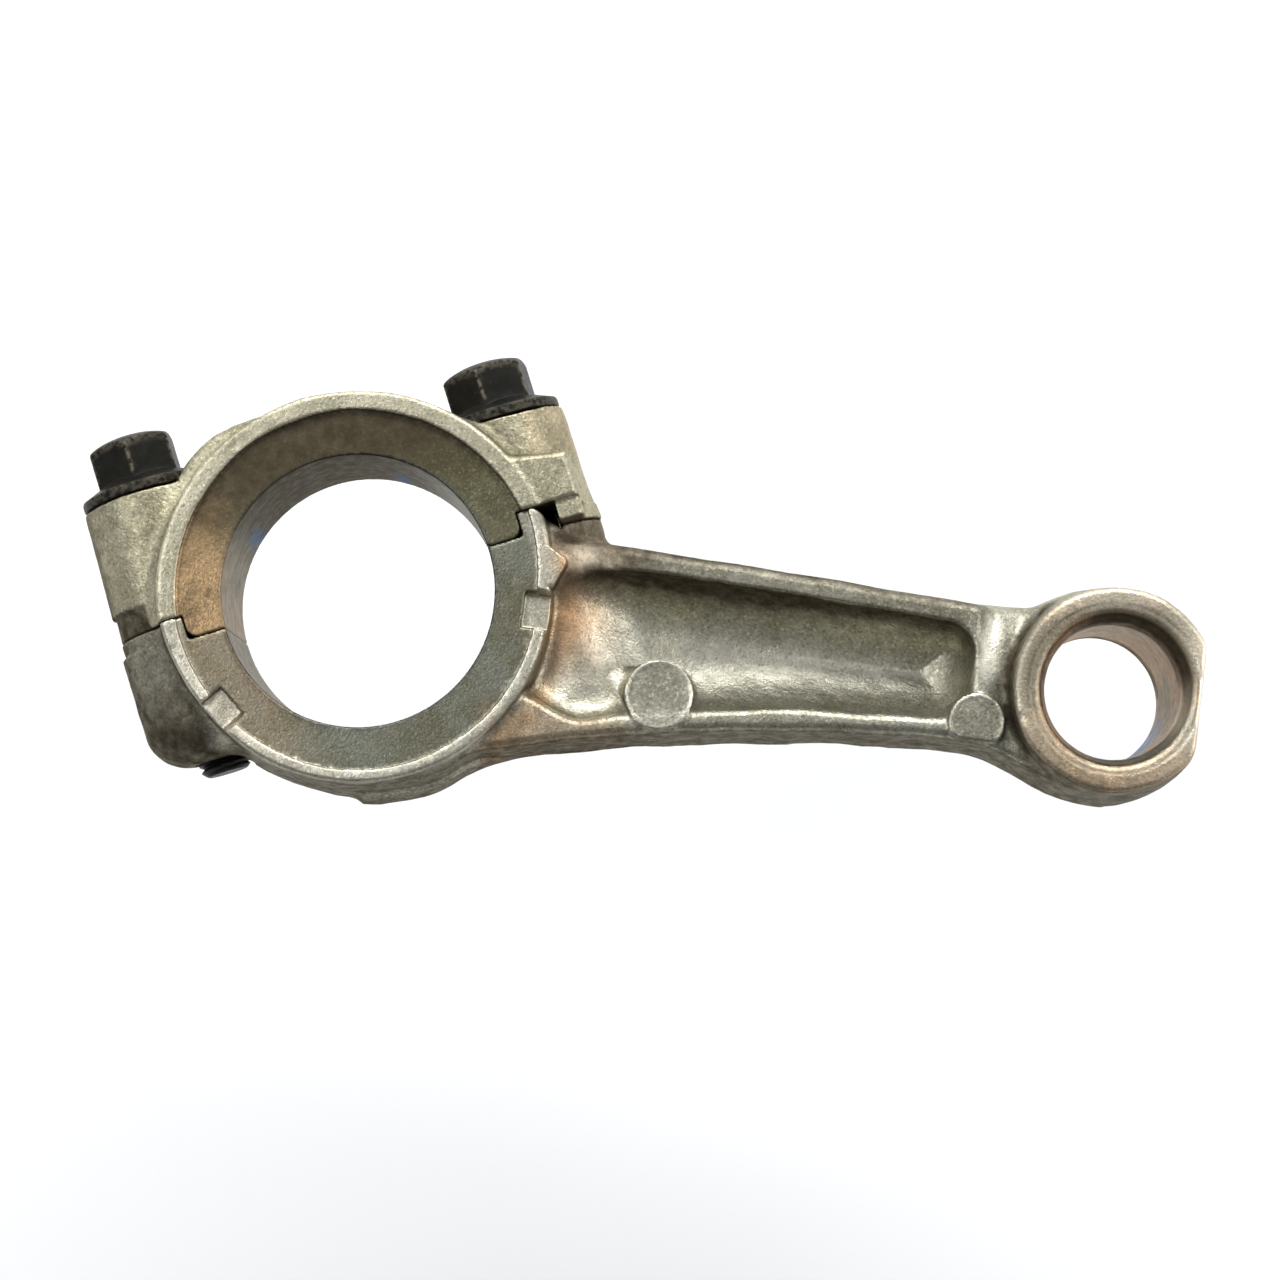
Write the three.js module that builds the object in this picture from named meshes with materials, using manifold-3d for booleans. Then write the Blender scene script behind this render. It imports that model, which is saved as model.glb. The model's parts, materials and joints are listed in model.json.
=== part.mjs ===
// Connecting rod of a small single-cylinder engine: a die-cast aluminium rod body and
// bearing cap, joined on an oblique, stepped split by two flange bolts. Millimetres, +Z up.
//
// The rod lies flat. +X runs from the crankpin bore to the wrist-pin bore and both bores
// run along Z. The casting is drafted both ways from a parting plane at mid-thickness.
// The split frame is turned about Z by SPLIT_ANGLE: its X runs along the split and its Y
// runs along the bolts, towards their heads.
import * as THREE from 'three';
import { mergeVertices } from 'three/addons/utils/BufferGeometryUtils.js';
import Module from 'manifold-3d';

const wasm = await Module();
wasm.setup();

// ---------------------------------------------------------------- driving dimensions
const CENTRE_DISTANCE = 88.4;
const SPLIT_ANGLE = THREE.MathUtils.degToRad(24.9);
const ROUND_SEGMENTS = 72;
const SMALL_SEGMENTS = 40;
const PIECE_GAP = 0.3;

const BIG_END = {
  boreRadius: 15.9,
  halfThickness: 11.5,
  thrustRadius: 20.9,
  thrustDepth: 0.6,
  rodRimRadius: 22.3,
  capRimRadius: 23.3,
  draft: 1.15,
};

const SMALL_END = {
  boreRadius: 8.56,
  boreChamfer: 1.4,
  halfThickness: 13.5,
  rimRadius: 11.8,
  edgeBreak: 0.5,
  draft: 1.1,
  flatDistance: 9.9,
};

const BEAM = { halfThickness: 10.2, draft: 1.0, webHalfThickness: 2.6, partingLand: 0.4 };
const POCKET = { wallSpread: 2.6, overrun: 1.5 };
const EJECTOR_PAD = { x: 36.3, y: -7.3, radius: 4, halfHeight: 9.6 };

const BOLT = {
  spacing: 43,
  shankRadius: 3.175,
  lengthUnderHead: 34.4,
  tipChamfer: 0.8,
  flangeRadius: 7.48,
  flangeEdge: 1.2,
  flangeThickness: 2.2,
  hexAcrossFlats: 9.525,
  headHeight: 7.7,
  domeRise: 2,
  domeOverhang: 0.25,
};

// Heights are along the bolts, from the line through the crankpin bore's axis.
const BOSS = { seatRadius: 7.6, splitRadius: 8.2, holeClearance: 0.3, holeOverrun: 5 };
const LEFT_BOSS = { end: -13.2, endRadius: 4.7, shoulderRadius: 7.9, rounding: 6 };
const RIGHT_BOSS = { end: -22, endRadius: 6.3, holeEnd: -20.7 };
const SEAT = { left: 19.2, right: 15, spotFaceRadius: 7.8, spotFaceDepth: 12 };
const LEFT_WEB_HALF_THICKNESS = 7;
const RIGHT_PAD = { left: 14, right: 27.6, top: 9, bottom: 0, halfThickness: 11.4 };

// Heights of the split along the bolts: the bearing faces meet lowest, and a tongue of
// the rod on each side stands up into the cap and locates it.
const SPLIT = {
  bearing: 0.4,
  tongue: 3.2,
  rightBoss: 0.8,
  leftStep: -20.4,
  rightStep: 20.2,
  rightTongueEnd: 24.8,
  stepSlope: 1.4,
  reach: 140,
};

const OIL_NOTCH = { innerRadius: 19.3, length: 5, width: 3.7, depth: 1.6, angles: [0, 228] };

const halfSpacing = BOLT.spacing / 2;
const holeRadius = BOLT.shankRadius + BOSS.holeClearance;
const holeTop = SEAT.left + BOSS.holeOverrun;

// ---------------------------------------------------------------- solid helpers
// A closed geometry, moved by a matrix, as a manifold solid.
function solidOf(geometry, matrix) {
  const plain = geometry.clone().applyMatrix4(matrix);
  plain.deleteAttribute('normal');
  plain.deleteAttribute('uv');
  const merged = mergeVertices(plain, 1e-4);
  const triangles = [];
  for (let i = 0; i < merged.index.count; i += 3) {
    const [a, b, c] = [0, 1, 2].map((corner) => merged.index.getX(i + corner));
    if (a !== b && b !== c && c !== a) triangles.push(a, b, c);
  }
  return new wasm.Manifold(new wasm.Mesh({
    numProp: 3,
    vertProperties: new Float32Array(merged.attributes.position.array),
    triVerts: new Uint32Array(triangles),
  }));
}

function geometryOf(solid) {
  const { vertProperties, triVerts } = solid.getMesh();
  const geometry = new THREE.BufferGeometry();
  geometry.setAttribute('position', new THREE.BufferAttribute(vertProperties, 3));
  geometry.setIndex(new THREE.BufferAttribute(triVerts, 1));
  const faceted = geometry.toNonIndexed();
  faceted.computeVertexNormals();
  return faceted;
}

const unionOf = (solids) => solids.reduce((whole, next) => whole.add(next));
const cutAll = (solid, cutters) => cutters.reduce((rest, cutter) => rest.subtract(cutter), solid);

const shift = (x, y, z) => new THREE.Matrix4().makeTranslation(x, y, z);
const yAxisToZ = new THREE.Matrix4().makeRotationX(Math.PI / 2);
const inPlace = new THREE.Matrix4();
const splitToRod = new THREE.Matrix4().makeRotationZ(SPLIT_ANGLE);

// Points of a quarter ellipse about a centre, as the angle goes from one end to the other.
function quarterArc(centreX, centreY, radiusX, radiusY, startAngle, steps = 6) {
  return Array.from({ length: steps + 1 }, (_, step) => {
    const angle = startAngle + (step / steps) * (Math.PI / 2);
    return [centreX + radiusX * Math.cos(angle), centreY + radiusY * Math.sin(angle)];
  });
}

// A solid of revolution about Y from [radius, height] points listed upwards.
function revolved(points, segments = ROUND_SEGMENTS) {
  return new THREE.LatheGeometry(points.map(([r, y]) => new THREE.Vector2(r, y)), segments);
}

// The same, standing on the Z axis at a place in the rod frame.
function revolvedAlongZ(points, x = 0, segments = ROUND_SEGMENTS) {
  return solidOf(revolved(points, segments), shift(x, 0, 0).multiply(yAxisToZ));
}

function cylinderAlongZ(radius, halfHeight, x = 0, y = 0, segments = ROUND_SEGMENTS) {
  const geometry = new THREE.CylinderGeometry(radius, radius, 2 * halfHeight, segments);
  return solidOf(geometry, shift(x, y, 0).multiply(yAxisToZ));
}

// A cylinder or cone frustum along a bolt axis, between two heights of the split frame,
// set in a frame given by its matrix.
function alongBolt(frame, side, lowY, highY, lowRadius, highRadius = lowRadius) {
  const geometry = new THREE.CylinderGeometry(highRadius, lowRadius, highY - lowY, SMALL_SEGMENTS);
  return solidOf(geometry, frame.clone().multiply(shift(side * halfSpacing, (lowY + highY) / 2, 0)));
}

function shapeOf(points) {
  return new THREE.Shape(points.map(([x, y]) => new THREE.Vector2(x, y)));
}

// A plate of an outline, centred on the parting plane, as thick as twice halfThickness.
function plate(frame, shape, halfThickness) {
  const geometry = new THREE.ExtrudeGeometry(shape, { depth: 2 * halfThickness, bevelEnabled: false });
  return solidOf(geometry, frame.clone().multiply(shift(0, 0, -halfThickness)));
}

// A cast plate: the outline is that of its two faces, and it widens to the parting plane.
function draftedPlate(shape, halfThickness, draft) {
  const geometry = new THREE.ExtrudeGeometry(shape, {
    depth: BEAM.partingLand,
    bevelThickness: halfThickness - BEAM.partingLand / 2,
    bevelSize: draft,
    bevelSegments: 1,
    curveSegments: 10,
  });
  return solidOf(geometry, shift(0, 0, -BEAM.partingLand / 2));
}

// ---------------------------------------------------------------- big end
// The disc that both halves of the big end are cut from.
function bigEndDisc(rimRadius) {
  const { halfThickness, draft } = BIG_END;
  return revolvedAlongZ([
    [0, -halfThickness],
    [rimRadius, -halfThickness],
    [rimRadius + draft, 0],
    [rimRadius, halfThickness],
    [0, halfThickness],
  ]);
}

// The crankpin bore and the machined thrust faces, sunk a little below the cast rim.
function bigEndMachining() {
  const { boreRadius, thrustRadius, thrustDepth, halfThickness } = BIG_END;
  const faces = [-1, 1].map((side) => {
    const centre = side * (halfThickness + thrustDepth);
    const disc = new THREE.CylinderGeometry(thrustRadius, thrustRadius, 4 * thrustDepth, ROUND_SEGMENTS);
    return solidOf(disc, shift(0, 0, centre).multiply(yAxisToZ));
  });
  return [cylinderAlongZ(boreRadius, 2 * halfThickness), ...faces];
}

// The split line from left to right in the split frame; a positive clearance moves it
// away from the rod, on the treads and on the risers of its steps.
function splitLine(clearance) {
  const left = SPLIT.leftStep + clearance;
  const right = SPLIT.rightStep - clearance;
  const bearing = SPLIT.bearing + clearance;
  const tongue = SPLIT.tongue + clearance;
  return [
    [-SPLIT.reach, tongue],
    [left, tongue],
    [left, bearing + SPLIT.stepSlope],
    [left + SPLIT.stepSlope, bearing],
    [right - SPLIT.stepSlope, bearing],
    [right, bearing + SPLIT.stepSlope],
    [right, tongue],
    [SPLIT.rightTongueEnd + clearance, tongue],
    [SPLIT.rightTongueEnd + clearance, SPLIT.rightBoss + clearance],
    [SPLIT.reach, SPLIT.rightBoss + clearance],
  ];
}

// Everything on one side of the split: +1 is the cap's side and -1 the rod's.
function splitSide(frame, side) {
  const line = splitLine(side * PIECE_GAP / 2);
  const far = side * SPLIT.reach;
  const outline = [...line, [SPLIT.reach, far], [-SPLIT.reach, far]];
  return plate(frame, shapeOf(outline), 2 * SMALL_END.halfThickness);
}

// ---------------------------------------------------------------- rod body
function beamShape() {
  const shape = new THREE.Shape();
  shape.moveTo(14, -16.6);
  shape.splineThru([
    new THREE.Vector2(30, -13.1),
    new THREE.Vector2(45, -10.3),
    new THREE.Vector2(60, -8.5),
    new THREE.Vector2(71, -7.9),
    new THREE.Vector2(78, -9.1),
    new THREE.Vector2(85, -11.3),
  ]);
  shape.lineTo(85, 11);
  shape.quadraticCurveTo(80, 8.1, 72, 8.15);
  shape.lineTo(27.5, 9.35);
  shape.lineTo(18, 9.35);
  return shape;
}

// The floor of the lightening pocket; its walls sweep up and out from here to the face.
function pocketFloorShape() {
  const shape = new THREE.Shape();
  shape.moveTo(25.2, -7.6);
  shape.lineTo(30, -8.6);
  shape.lineTo(43, -5.3);
  shape.lineTo(66, -3.5);
  shape.absarc(67.2, -1, 2.6, -Math.PI / 2, 0, false);
  shape.absarc(66.2, 0.2, 3.6, 0, Math.PI / 2, false);
  shape.lineTo(32, 4.1);
  shape.lineTo(26.2, 2.8);
  return shape;
}

function pocket(side) {
  const floor = BEAM.webHalfThickness;
  const depth = BEAM.halfThickness - floor;
  const geometry = new THREE.ExtrudeGeometry(pocketFloorShape(), {
    depth: POCKET.overrun,
    bevelThickness: depth,
    bevelSize: POCKET.wallSpread,
    bevelSegments: 4,
    curveSegments: 6,
  });
  const lift = side > 0 ? BEAM.halfThickness : -BEAM.halfThickness - POCKET.overrun;
  return solidOf(geometry, shift(0, 0, lift));
}

function smallEndBoss() {
  const { halfThickness, rimRadius, edgeBreak, draft } = SMALL_END;
  return revolvedAlongZ([
    [0, -halfThickness],
    [rimRadius - edgeBreak, -halfThickness],
    [rimRadius, -halfThickness + edgeBreak],
    [rimRadius + draft, 0],
    [rimRadius, halfThickness - edgeBreak],
    [rimRadius - edgeBreak, halfThickness],
    [0, halfThickness],
  ], CENTRE_DISTANCE);
}

// The wrist-pin bore with its two lead-in chamfers.
function smallEndBore() {
  const { boreRadius, boreChamfer, halfThickness } = SMALL_END;
  const mouth = boreRadius + 2 * boreChamfer;
  const outside = halfThickness + boreChamfer;
  const throat = halfThickness - boreChamfer;
  return revolvedAlongZ([
    [0, -outside],
    [mouth, -outside],
    [boreRadius, -throat],
    [boreRadius, throat],
    [mouth, outside],
    [0, outside],
  ], CENTRE_DISTANCE);
}

// The flat milled across the far end of the small end.
function smallEndFlat() {
  const size = 4 * SMALL_END.rimRadius;
  const place = shift(CENTRE_DISTANCE + SMALL_END.flatDistance + size / 2, 0, 0);
  return solidOf(new THREE.BoxGeometry(size, size, size), place);
}

// Shallow oil notches let into the rim of the rod's half, on both faces.
function oilNotches() {
  const { innerRadius, length, width, depth, angles } = OIL_NOTCH;
  const middle = innerRadius + length / 2;
  return angles.flatMap((degrees) => [-1, 1].map((side) => {
    const turn = new THREE.Matrix4().makeRotationZ(THREE.MathUtils.degToRad(degrees));
    const place = turn.multiply(shift(middle, 0, side * BIG_END.halfThickness));
    return solidOf(new THREE.BoxGeometry(length, width, 2 * depth), place);
  }));
}

// The left bolt's boss, whose free end is rounded off; the bolt's tip stands out of it.
function leftBoss() {
  const { end, endRadius, shoulderRadius, rounding } = LEFT_BOSS;
  const spread = shoulderRadius - endRadius;
  const profile = revolved([
    [0, end],
    ...quarterArc(endRadius, end + rounding, spread, rounding, -Math.PI / 2),
    [BOSS.splitRadius, SPLIT.tongue],
    [0, SPLIT.tongue],
  ], SMALL_SEGMENTS);
  return solidOf(profile, splitToRod.clone().multiply(shift(-halfSpacing, 0, 0)));
}

function rodBodySolid() {
  const beam = draftedPlate(beamShape(), BEAM.halfThickness, BEAM.draft);
  const pad = cylinderAlongZ(
    EJECTOR_PAD.radius, EJECTOR_PAD.halfHeight, EJECTOR_PAD.x, EJECTOR_PAD.y, SMALL_SEGMENTS,
  );
  const casting = unionOf([
    cutAll(beam, [pocket(1), pocket(-1)]),
    pad,
    bigEndDisc(BIG_END.rodRimRadius),
    leftBoss(),
    alongBolt(splitToRod, 1, RIGHT_BOSS.end, SPLIT.tongue, RIGHT_BOSS.endRadius, BOSS.splitRadius),
    smallEndBoss(),
  ]);
  return cutAll(casting, [
    ...bigEndMachining(),
    ...oilNotches(),
    smallEndBore(),
    smallEndFlat(),
    alongBolt(splitToRod, -1, LEFT_BOSS.end - BOSS.holeOverrun, holeTop, holeRadius),
    alongBolt(splitToRod, 1, RIGHT_BOSS.holeEnd, holeTop, holeRadius),
  ]).intersect(splitSide(splitToRod, -1));
}

// ---------------------------------------------------------------- bearing cap
// The cast web that fills the corner between the ring and the left bolt's seat.
function leftWebShape() {
  const shape = new THREE.Shape();
  shape.moveTo(0, 10);
  shape.lineTo(0, 22);
  shape.lineTo(-6, 23.6);
  shape.quadraticCurveTo(-13, 24.4, -17.3, 18.4);
  shape.lineTo(-21, 10);
  return shape;
}

// The flat pad level with the rim, between the ring and the right bolt boss.
function rightPad() {
  const { left, right, top, bottom, halfThickness } = RIGHT_PAD;
  const shape = shapeOf([[left, bottom], [right, bottom], [right, top], [left, top]]);
  return draftedPlate(shape, halfThickness, BEAM.draft);
}

// The round spot face that a bolt's flange seats on, clearing the casting above it.
function spotFace(side, seat) {
  return alongBolt(inPlace, side, seat, seat + SEAT.spotFaceDepth, SEAT.spotFaceRadius);
}

function capSolid() {
  const boss = (side, seat) => alongBolt(inPlace, side, 0, seat, BOSS.splitRadius, BOSS.seatRadius);
  const hole = (side) => alongBolt(inPlace, side, -BOSS.holeOverrun, holeTop, holeRadius);
  const casting = unionOf([
    bigEndDisc(BIG_END.capRimRadius),
    boss(-1, SEAT.left),
    boss(1, SEAT.right),
    plate(inPlace, leftWebShape(), LEFT_WEB_HALF_THICKNESS),
    rightPad(),
  ]);
  return cutAll(casting, [
    ...bigEndMachining(),
    spotFace(-1, SEAT.left),
    spotFace(1, SEAT.right),
    hole(-1),
    hole(1),
  ]).intersect(splitSide(inPlace, 1));
}

// ---------------------------------------------------------------- flange bolt
// Origin at the middle of the flange's seating face, +Y towards the top of the head. The
// hexagon is turned by an angle from having a corner on +Z.
function boltSolid(hexTurn) {
  const { shankRadius, lengthUnderHead, tipChamfer, flangeRadius, flangeEdge } = BOLT;
  const { flangeThickness, hexAcrossFlats, headHeight, domeRise, domeOverhang } = BOLT;
  const cornerRadius = hexAcrossFlats / Math.sqrt(3);
  const shankAndFlange = revolved([
    [0, -lengthUnderHead],
    [shankRadius - tipChamfer, -lengthUnderHead],
    [shankRadius, -lengthUnderHead + tipChamfer],
    [shankRadius, 0],
    [flangeRadius, 0],
    [flangeRadius, flangeEdge],
    [cornerRadius, flangeThickness],
    [0, flangeThickness],
  ], SMALL_SEGMENTS);
  const dome = revolved([
    [0, 0],
    [cornerRadius + domeOverhang, 0],
    ...quarterArc(0, headHeight - domeRise, cornerRadius + domeOverhang, domeRise, 0),
  ], SMALL_SEGMENTS);
  const hexagon = new THREE.CylinderGeometry(cornerRadius, cornerRadius, headHeight, 6);
  const hexPlace = shift(0, headHeight / 2, 0).multiply(new THREE.Matrix4().makeRotationY(hexTurn));
  const head = solidOf(hexagon, hexPlace).intersect(solidOf(dome, inPlace));
  return solidOf(shankAndFlange, inPlace).add(head);
}

// ---------------------------------------------------------------- assembly
const castAluminium = (color, roughness) => (
  new THREE.MeshStandardMaterial({ color, roughness, metalness: 0.85 })
);
const blackOxide = () => (
  new THREE.MeshStandardMaterial({ color: 0x1d1c1a, roughness: 0.42, metalness: 0.7 })
);

function named(name, geometry, material) {
  const mesh = new THREE.Mesh(geometry, material);
  mesh.name = name;
  return mesh;
}

// The cap and its bolts, in the split frame.
const capAssembly = new THREE.Group();
capAssembly.rotation.z = SPLIT_ANGLE;
capAssembly.add(named('rod_cap', geometryOf(capSolid()), castAluminium(0x9b9482, 0.5)));

for (const { name, side, seat, hexTurn } of [
  { name: 'left_bolt', side: -1, seat: SEAT.left, hexTurn: 0 },
  { name: 'right_bolt', side: 1, seat: SEAT.right, hexTurn: THREE.MathUtils.degToRad(-9) },
]) {
  const bolt = named(name, geometryOf(boltSolid(hexTurn)), blackOxide());
  bolt.position.set(side * halfSpacing, seat + PIECE_GAP, 0);
  capAssembly.add(bolt);
}

const assembly = new THREE.Group();
assembly.add(named('rod_body', geometryOf(rodBodySolid()), castAluminium(0x8a8678, 0.48)));
assembly.add(capAssembly);

// The part's origin is the middle of its bounding box's bottom face.
const connectingRod = new THREE.Group();
connectingRod.add(assembly);
connectingRod.updateMatrixWorld(true);
const box = new THREE.Box3().setFromObject(connectingRod, true);
const middle = box.getCenter(new THREE.Vector3());
assembly.position.set(-middle.x, -middle.y, -box.min.z);

export default connectingRod;
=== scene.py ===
"""Looks of a small engine's connecting rod: two die-cast aluminium halves and two flange bolts.

The castings are signed distance fields in millimetres, in the rod frame: its origin is on the
crankpin bore's axis at mid-thickness, X runs to the wrist-pin bore and Z along both bores. The
split frame is the same frame turned about Z, with U along the split and S along the bolts.
"""

import json
import math

import bpy
import numpy as np
from mathutils import Matrix, Vector


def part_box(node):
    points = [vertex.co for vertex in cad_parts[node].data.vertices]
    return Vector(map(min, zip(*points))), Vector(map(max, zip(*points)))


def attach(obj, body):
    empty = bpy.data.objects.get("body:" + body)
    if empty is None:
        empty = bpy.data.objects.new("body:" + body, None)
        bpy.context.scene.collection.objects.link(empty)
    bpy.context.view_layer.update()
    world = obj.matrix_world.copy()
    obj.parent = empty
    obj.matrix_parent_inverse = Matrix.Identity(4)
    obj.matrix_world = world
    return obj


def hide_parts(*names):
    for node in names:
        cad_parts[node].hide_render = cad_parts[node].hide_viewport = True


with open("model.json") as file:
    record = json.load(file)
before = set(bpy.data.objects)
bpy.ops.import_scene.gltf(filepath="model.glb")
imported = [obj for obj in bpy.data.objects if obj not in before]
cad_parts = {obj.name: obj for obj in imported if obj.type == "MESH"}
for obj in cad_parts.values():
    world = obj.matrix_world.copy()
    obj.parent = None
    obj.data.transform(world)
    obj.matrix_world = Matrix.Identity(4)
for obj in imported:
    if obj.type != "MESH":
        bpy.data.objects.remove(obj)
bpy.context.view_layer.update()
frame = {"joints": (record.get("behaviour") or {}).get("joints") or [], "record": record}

# ------------------------------------------------------------------ places from the frame
MM = 0.001
record = frame["record"]
openings = {o["name"]: np.array(o["box_m"]) for o in record["physics"]["openings"]}
joints = {j["name"]: j for j in frame["joints"]}
crank_centre = openings["crankpin_bore"].mean(axis=0)
wrist_centre = openings["wrist_pin_bore"].mean(axis=0)
CENTRE_DISTANCE = float(wrist_centre[0] - crank_centre[0]) / MM
BOLT_DIRECTION = np.array(joints["cap_lift"]["axis"])
SPLIT_ANGLE = math.atan2(-BOLT_DIRECTION[0], BOLT_DIRECTION[1])
COS_SPLIT, SIN_SPLIT = math.cos(SPLIT_ANGLE), math.sin(SPLIT_ANGLE)
SMALL_HALF = float(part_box("rod_body")[1].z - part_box("rod_body")[0].z) / 2 / MM
BOLT_U = float(np.linalg.norm(
    np.array(joints["right_bolt_turn"]["pos_m"]) - joints["left_bolt_turn"]["pos_m"])) / 2 / MM

# ------------------------------------------------------------------ sizes, in millimetres
GAP = 0.14
BORE = 15.9
BIG_HALF = 11.5
THRUST_HALF = 10.9
THRUST_RADIUS = 20.9
ROD_RIM, CAP_RIM = 22.3, 23.3
BIG_DRAFT = 1.15
BEAM_HALF = 10.2
BEAM_DRAFT = 1.0
FLOOR = 2.6
SMALL_RIM, SMALL_BORE, SMALL_DRAFT = 11.8, 7.95, 1.1
LEAD_IN, LEAD_IN_DEPTH = 0.95, 3.0
TURNED_LINE, TURNED_STEP = 10.1, 0.16
SMALL_FLAT = 9.9
SEAT_LEFT, SEAT_RIGHT = 19.2, 15.0
BOSS_SPLIT, BOSS_SEAT = 8.2, 7.6
HOLE, RIGHT_HOLE_END = 3.4, -20.7
TONGUE, BEARING, RIGHT_SPLIT = 3.2, 0.4, 0.8
LEFT_STEP, RIGHT_STEP, TONGUE_END = -20.4, 20.2, 24.8

VOXEL = 0.26
MAX_TRIANGLES = 190_000
DIMPLE = 0.04


# ------------------------------------------------------------------ distance field helpers
def join(a, b, radius):
    """The union of two distances, with a round fillet between them."""
    corner = np.hypot(np.maximum(radius - a, 0), np.maximum(radius - b, 0))
    return np.maximum(radius, np.minimum(a, b)) - corner


def meet(a, b, radius):
    """What two distances share, with a rounded edge."""
    corner = np.hypot(np.maximum(radius + a, 0), np.maximum(radius + b, 0))
    return np.minimum(-radius, np.maximum(a, b)) + corner


def cut(a, b, radius):
    """The first distance without the second, with a rounded edge."""
    return meet(a, -b, radius)


def curve(points):
    """A smooth line through points, as a function of its first coordinate."""
    xs, ys = np.array(points, float).T
    slopes = np.gradient(ys, xs)
    fine = np.linspace(xs[0], xs[-1], 400)
    i = np.clip(np.searchsorted(xs, fine) - 1, 0, len(xs) - 2)
    h = xs[i + 1] - xs[i]
    t = (fine - xs[i]) / h
    values = ((2 * t**3 - 3 * t**2 + 1) * ys[i] + (t**3 - 2 * t**2 + t) * h * slopes[i]
              + (3 * t**2 - 2 * t**3) * ys[i + 1] + (t**3 - t**2) * h * slopes[i + 1])
    return lambda x: np.interp(x, fine, values).astype(np.float32)


def smooth(low, high, x):
    """0 below low, 1 above high, with a smooth step between them."""
    t = np.clip((x - low) / (high - low), 0, 1)
    return t * t * (3 - 2 * t)


def blob(distance, size):
    """1 at distance 0, fading to nothing over about twice the size."""
    return np.exp(-((distance / size) ** 2))


def polygon(x, y, corners):
    """Signed distance to a convex outline, its corners listed anticlockwise."""
    inside = None
    for (x0, y0), (x1, y1) in zip(corners, corners[1:] + corners[:1]):
        length = math.hypot(x1 - x0, y1 - y0)
        side = ((x - x0) * (y1 - y0) - (y - y0) * (x1 - x0)) / length
        inside = side if inside is None else np.maximum(inside, side)
    return inside


def split_frame(x, y):
    """The place (u, s) in the split frame of a place in the rod frame."""
    return x * COS_SPLIT + y * SIN_SPLIT, y * COS_SPLIT - x * SIN_SPLIT


def from_split_frame(u, s, z):
    """The place in the rod frame of a place in the split frame."""
    return np.stack([u * COS_SPLIT - s * SIN_SPLIT, u * SIN_SPLIT + s * COS_SPLIT, z], -1)


class Waves:
    """Smooth, seeded unevenness: waves of about one length in random directions."""

    def __init__(self, seed, length, count=14):
        random = np.random.default_rng(seed)
        directions = random.normal(size=(count, 3))
        directions /= np.linalg.norm(directions, axis=1)[:, None]
        lengths = length * random.uniform(0.7, 1.5, count)
        self.waves = directions * (2 * math.pi / lengths)[:, None]
        self.phases = random.uniform(0, 2 * math.pi, count)
        self.height = math.sqrt(2 / count)

    def __call__(self, x, y, z):
        total = 0
        for (a, b, c), phase in zip(self.waves.astype(np.float32), self.phases):
            total = total + np.sin(a * x + b * y + c * z + phase)
        return total * self.height


# ------------------------------------------------------------------ shared shapes
def bolt_radius(u, z, side):
    """Distance from a bolt's axis; side is -1 for the left bolt and 1 for the right one."""
    return np.hypot(u - side * BOLT_U, z)


def cap_region(u, s, corner):
    """The cap's side of the stepped split; corner rounds the ends of the bearing land."""
    land = meet(np.maximum(u - RIGHT_STEP, LEFT_STEP - u), BEARING - s, corner)
    right = meet(TONGUE_END - u, RIGHT_SPLIT - s, 0.25)
    return np.minimum(np.minimum(land, TONGUE - s), right)


def crank_cuts(solid, r, a, thrust_radius):
    """Cuts the crankpin bore and the sunk thrust faces."""
    thrust = np.maximum((r - thrust_radius) * 0.9, THRUST_HALF - a)
    solid = cut(solid, thrust, 0.12)
    return cut(solid, r - BORE, 0.18)


# ------------------------------------------------------------------ rod body
beam_top = curve([
    (10, 9.6), (20, 9.5), (28, 9.3), (50, 8.75), (68, 8.15), (75, 8.1), (78, 8.4), (81, 9.5),
    (84, 10.6), (88.5, 11.0)])
beam_bottom = curve([
    (5.3, -22.0), (12.5, -19.2), (14.8, -17.3), (20, -15.6), (25, -14.2), (30, -13.1), (40, -11.1),
    (50, -9.7), (60, -8.5), (70, -7.9), (74, -8.0), (78, -9.1), (82, -10.6), (85, -11.3),
    (88.5, -11.4)])
pocket_top = curve([
    (16, 4.4), (23, 5.3), (27, 6.0), (31, 6.6), (40, 6.6), (63, 5.9), (70, 5.6), (76, 5.2)])
pocket_bottom = curve([
    (16, -8.0), (21, -9.4), (27, -11.3), (32, -10.2), (43, -8.2), (50, -7.0), (60, -6.3), (76, -5.0)])
BEAM_START, BEAM_EDGE = 5.3, 1.2
POCKET_END, POCKET_CORNER, POCKET_FILLET, POCKET_DRAFT = 72.1, 3.4, 6.2, 0.12
PAD_X, PAD_Y, PAD_RADIUS, PAD_HALF = 36.3, -7.3, 4.0, 10.3
SMALL_PAD_X, SMALL_PAD_Y, SMALL_PAD_RADIUS, SMALL_PAD_HALF = 73.2, -5.6, 3.25, 10.5
SMALL_PAD_FLAT = -7.6
PAD_BURR, PAD_EDGE = 0.14, 0.12
NOTCH_FLOOR, NOTCH_ANGLES = 9.9, (0.0, math.radians(228))
RIM_LOBE = [(18.6, 3.2), (22.4, 3.3), (23.7, 6.2), (23.5, 6.9), (18.6, 9.8)]


def beam_side(x, y, a):
    """Distance to the beam's outline seen from the front, with the die's draft."""
    side = np.maximum(y - beam_top(x), beam_bottom(x) - y)
    side = np.maximum(side, np.maximum(BEAM_START - x, x - CENTRE_DISTANCE))
    return side - BEAM_DRAFT * (1 - a / BEAM_HALF)


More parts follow.
